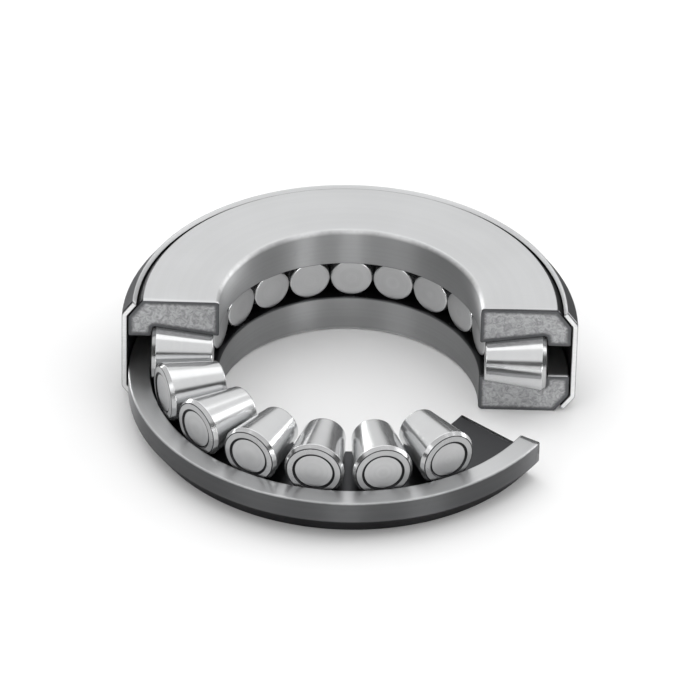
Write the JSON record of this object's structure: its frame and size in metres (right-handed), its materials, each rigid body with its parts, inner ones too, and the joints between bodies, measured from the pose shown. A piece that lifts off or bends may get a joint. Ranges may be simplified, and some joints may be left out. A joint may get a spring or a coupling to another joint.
{
  "type": "tapered roller thrust bearing",
  "caption": "Cutaway thrust bearing: tapered rollers run side by side between two ribbed races inside a loose pressed band, with a sector removed to show the inside.",
  "frame": {"origin": "on the bearing's axis, level with the lower race's flat seat", "axes": "+Z along the bearing's axis from the lower seat to the upper seat; +X through roller_01 and the right-hand section face; the open front faces -Y"},
  "size_m": [0.0908, 0.0894, 0.0244],
  "materials": {
    "race_steel": "ground satin",
    "band_steel": "pressed satin",
    "roller_steel": "fine ground"
  },
  "bodies": {
    "lower_race": {"lower_race": "race_steel"},
    "upper_race": {"upper_race": "race_steel"},
    "retaining_band": {"retaining_band": "band_steel"},
    "roller_01": {"roller_01": "roller_steel"},
    "roller_02": {"roller_02": "roller_steel"},
    "roller_03": {"roller_03": "roller_steel"},
    "roller_04": {"roller_04": "roller_steel"},
    "roller_05": {"roller_05": "roller_steel"},
    "roller_06": {"roller_06": "roller_steel"},
    "roller_07": {"roller_07": "roller_steel"},
    "roller_08": {"roller_08": "roller_steel"},
    "roller_09": {"roller_09": "roller_steel"},
    "roller_10": {"roller_10": "roller_steel"},
    "roller_11": {"roller_11": "roller_steel"},
    "roller_12": {"roller_12": "roller_steel"},
    "roller_13": {"roller_13": "roller_steel"},
    "roller_14": {"roller_14": "roller_steel"},
    "roller_15": {"roller_15": "roller_steel"},
    "roller_16": {"roller_16": "roller_steel"},
    "roller_17": {"roller_17": "roller_steel"}
  },
  "joints": [
    {"name": "upper_race_turn", "type": "hinge", "parent": "lower_race", "child": "upper_race", "pos_m": [0, 0, 0.0122], "axis": [0, 0, 1], "continuous": true},
    {"name": "band_turn", "type": "hinge", "parent": "lower_race", "child": "retaining_band", "pos_m": [0, 0, 0.0122], "axis": [0, 0, 1], "continuous": true},
    {"name": "roller_01_spin", "type": "hinge", "parent": "retaining_band", "child": "roller_01", "pos_m": [0.03329, 0, 0.0122], "axis": [1, 0, 0], "continuous": true},
    {"name": "roller_02_spin", "type": "hinge", "parent": "retaining_band", "child": "roller_02", "pos_m": [0.03166, 0.01029, 0.0122], "axis": [0.9511, 0.309, 0], "continuous": true},
    {"name": "roller_03_spin", "type": "hinge", "parent": "retaining_band", "child": "roller_03", "pos_m": [0.02693, 0.01956, 0.0122], "axis": [0.809, 0.5878, 0], "continuous": true},
    {"name": "roller_04_spin", "type": "hinge", "parent": "retaining_band", "child": "roller_04", "pos_m": [0.01956, 0.02693, 0.0122], "axis": [0.5878, 0.809, 0], "continuous": true},
    {"name": "roller_05_spin", "type": "hinge", "parent": "retaining_band", "child": "roller_05", "pos_m": [0.01029, 0.03166, 0.0122], "axis": [0.309, 0.9511, 0], "continuous": true},
    {"name": "roller_06_spin", "type": "hinge", "parent": "retaining_band", "child": "roller_06", "pos_m": [0, 0.03329, 0.0122], "axis": [0, 1, 0], "continuous": true},
    {"name": "roller_07_spin", "type": "hinge", "parent": "retaining_band", "child": "roller_07", "pos_m": [-0.01029, 0.03166, 0.0122], "axis": [-0.309, 0.9511, 0], "continuous": true},
    {"name": "roller_08_spin", "type": "hinge", "parent": "retaining_band", "child": "roller_08", "pos_m": [-0.01956, 0.02693, 0.0122], "axis": [-0.5878, 0.809, 0], "continuous": true},
    {"name": "roller_09_spin", "type": "hinge", "parent": "retaining_band", "child": "roller_09", "pos_m": [-0.02693, 0.01956, 0.0122], "axis": [-0.809, 0.5878, 0], "continuous": true},
    {"name": "roller_10_spin", "type": "hinge", "parent": "retaining_band", "child": "roller_10", "pos_m": [-0.03166, 0.01029, 0.0122], "axis": [-0.9511, 0.309, 0], "continuous": true},
    {"name": "roller_11_spin", "type": "hinge", "parent": "retaining_band", "child": "roller_11", "pos_m": [-0.03329, 0, 0.0122], "axis": [-1, 0, 0], "continuous": true},
    {"name": "roller_12_spin", "type": "hinge", "parent": "retaining_band", "child": "roller_12", "pos_m": [-0.03107, -0.01193, 0.0122], "axis": [-0.9336, -0.3584, 0], "continuous": true},
    {"name": "roller_13_spin", "type": "hinge", "parent": "retaining_band", "child": "roller_13", "pos_m": [-0.02514, -0.02181, 0.0122], "axis": [-0.7554, -0.6553, 0], "continuous": true},
    {"name": "roller_14_spin", "type": "hinge", "parent": "retaining_band", "child": "roller_14", "pos_m": [-0.0162, -0.02908, 0.0122], "axis": [-0.4866, -0.8736, 0], "continuous": true},
    {"name": "roller_15_spin", "type": "hinge", "parent": "retaining_band", "child": "roller_15", "pos_m": [-0.00531, -0.03286, 0.0122], "axis": [-0.1595, -0.9872, 0], "continuous": true},
    {"name": "roller_16_spin", "type": "hinge", "parent": "retaining_band", "child": "roller_16", "pos_m": [0.00621, -0.0327, 0.0122], "axis": [0.1867, -0.9824, 0], "continuous": true},
    {"name": "roller_17_spin", "type": "hinge", "parent": "retaining_band", "child": "roller_17", "pos_m": [0.01699, -0.02862, 0.0122], "axis": [0.5105, -0.8599, 0], "continuous": true}
  ],
  "couplings": [
    {"joint": "band_turn", "follows": "upper_race_turn", "ratio": 0.5},
    {"joint": "roller_01_spin", "follows": "upper_race_turn", "ratio": -3.2113},
    {"joint": "roller_02_spin", "follows": "upper_race_turn", "ratio": -3.2113},
    {"joint": "roller_03_spin", "follows": "upper_race_turn", "ratio": -3.2113},
    {"joint": "roller_04_spin", "follows": "upper_race_turn", "ratio": -3.2113},
    {"joint": "roller_05_spin", "follows": "upper_race_turn", "ratio": -3.2113},
    {"joint": "roller_06_spin", "follows": "upper_race_turn", "ratio": -3.2113},
    {"joint": "roller_07_spin", "follows": "upper_race_turn", "ratio": -3.2113},
    {"joint": "roller_08_spin", "follows": "upper_race_turn", "ratio": -3.2113},
    {"joint": "roller_09_spin", "follows": "upper_race_turn", "ratio": -3.2113},
    {"joint": "roller_10_spin", "follows": "upper_race_turn", "ratio": -3.2113},
    {"joint": "roller_11_spin", "follows": "upper_race_turn", "ratio": -3.2113},
    {"joint": "roller_12_spin", "follows": "upper_race_turn", "ratio": -3.2113},
    {"joint": "roller_13_spin", "follows": "upper_race_turn", "ratio": -3.2113},
    {"joint": "roller_14_spin", "follows": "upper_race_turn", "ratio": -3.2113},
    {"joint": "roller_15_spin", "follows": "upper_race_turn", "ratio": -3.2113},
    {"joint": "roller_16_spin", "follows": "upper_race_turn", "ratio": -3.2113},
    {"joint": "roller_17_spin", "follows": "upper_race_turn", "ratio": -3.2113}
  ]
}
